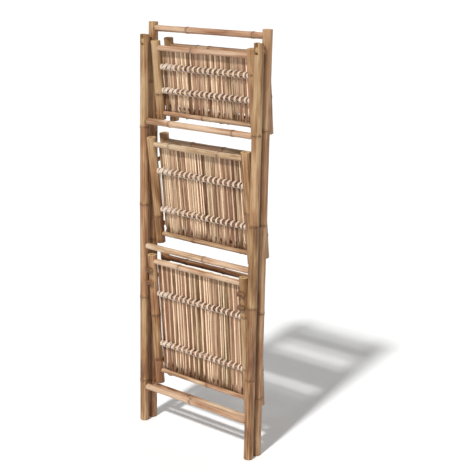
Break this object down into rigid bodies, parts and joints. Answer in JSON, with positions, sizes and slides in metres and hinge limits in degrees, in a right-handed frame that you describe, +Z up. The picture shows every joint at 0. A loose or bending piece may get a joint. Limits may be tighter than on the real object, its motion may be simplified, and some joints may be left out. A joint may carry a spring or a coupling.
{
  "type": "folding ladder shelf",
  "caption": "Bamboo ladder shelf that folds flat: a front and a back frame hinged at the top, with slatted trays that swing down, shown folded.",
  "frame": {"origin": "middle of the bottom of the folded rack's box, on the floor", "axes": "+X across the rack to its right, +Y to its back, +Z up"},
  "size_m": [0.348, 0.1012, 0.957],
  "materials": {
    "post_bamboo": "thin clear varnish on natural bamboo cane",
    "rail_bamboo": "thin clear varnish on thin bamboo cane",
    "pole_bamboo": "thin clear varnish on natural bamboo cane",
    "slat_bamboo": "split bamboo, matt",
    "dowel_bamboo": "turned bamboo, matt",
    "cord": "twisted natural cord"
  },
  "bodies": {
    "hinge_pins": {"hinge_pin_left": "dowel_bamboo", "hinge_pin_right": "dowel_bamboo"},
    "front_frame": {"front_post_left": "post_bamboo", "front_post_right": "post_bamboo", "front_rail_top": "rail_bamboo", "front_rail_middle": "rail_bamboo", "front_rail_bottom": "rail_bamboo", "front_frame_pegs": "dowel_bamboo"},
    "back_frame": {"hinge_tongue_left": "dowel_bamboo", "hinge_tongue_right": "dowel_bamboo", "back_post_left": "post_bamboo", "back_post_right": "post_bamboo", "handle_rail": "rail_bamboo", "back_bottom_rail": "rail_bamboo", "back_frame_pegs": "dowel_bamboo"},
    "top_tray": {"top_tray_side_pole_left": "pole_bamboo", "top_tray_guard_pole_left": "pole_bamboo", "top_tray_side_pole_right": "pole_bamboo", "top_tray_guard_pole_right": "pole_bamboo", "top_tray_rear_rail": "rail_bamboo", "top_tray_front_rail": "rail_bamboo", "top_tray_tie_bar_rear": "rail_bamboo", "top_tray_tie_bar_front": "rail_bamboo", "top_tray_guard_rear_rail": "rail_bamboo", "top_tray_guard_front_rail": "rail_bamboo", "top_tray_pivot_pins": "dowel_bamboo", "top_tray_guard_spacers": "dowel_bamboo", "top_tray_slats": "slat_bamboo", "top_tray_lashings": "cord"},
    "middle_tray": {"middle_tray_side_pole_left": "pole_bamboo", "middle_tray_guard_pole_left": "pole_bamboo", "middle_tray_side_pole_right": "pole_bamboo", "middle_tray_guard_pole_right": "pole_bamboo", "middle_tray_rear_rail": "rail_bamboo", "middle_tray_front_rail": "rail_bamboo", "middle_tray_tie_bar_rear": "rail_bamboo", "middle_tray_tie_bar_front": "rail_bamboo", "middle_tray_guard_rear_rail": "rail_bamboo", "middle_tray_guard_front_rail": "rail_bamboo", "middle_tray_pivot_pins": "dowel_bamboo", "middle_tray_guard_spacers": "dowel_bamboo", "middle_tray_slats": "slat_bamboo", "middle_tray_lashings": "cord"},
    "bottom_tray": {"bottom_tray_side_pole_left": "pole_bamboo", "bottom_tray_guard_pole_left": "pole_bamboo", "bottom_tray_side_pole_right": "pole_bamboo", "bottom_tray_guard_pole_right": "pole_bamboo", "bottom_tray_rear_rail": "rail_bamboo", "bottom_tray_front_rail": "rail_bamboo", "bottom_tray_tie_bar_rear": "rail_bamboo", "bottom_tray_tie_bar_front": "rail_bamboo", "bottom_tray_guard_rear_rail": "rail_bamboo", "bottom_tray_guard_front_rail": "rail_bamboo", "bottom_tray_pivot_pins": "dowel_bamboo", "bottom_tray_guard_spacers": "dowel_bamboo", "bottom_tray_slats": "slat_bamboo", "bottom_tray_lashings": "cord", "bottom_tray_rest_cleats": "dowel_bamboo"}
  },
  "joints": [
    {"name": "front_swing", "type": "hinge", "parent": "hinge_pins", "child": "front_frame", "pos_m": [0, -0.03388, 0.915], "axis": [-1, 0, 0], "range_deg": [0, 8.5]},
    {"name": "back_swing", "type": "hinge", "parent": "hinge_pins", "child": "back_frame", "pos_m": [0, -0.03388, 0.915], "axis": [1, 0, 0], "range_deg": [0, 8.5]},
    {"name": "top_tray_fold", "type": "hinge", "parent": "back_frame", "child": "top_tray", "pos_m": [0, -0.00588, 0.74982], "axis": [1, 0, 0], "range_deg": [0, 74.66]},
    {"name": "middle_tray_fold", "type": "hinge", "parent": "back_frame", "child": "middle_tray", "pos_m": [0, -0.00588, 0.45582], "axis": [1, 0, 0], "range_deg": [0, 73.82]},
    {"name": "bottom_tray_fold", "type": "hinge", "parent": "back_frame", "child": "bottom_tray", "pos_m": [0, -0.00588, 0.10282], "axis": [1, 0, 0], "range_deg": [0, 76.33]}
  ],
  "couplings": [
    {"joint": "back_swing", "follows": "front_swing", "ratio": 1}
  ]
}
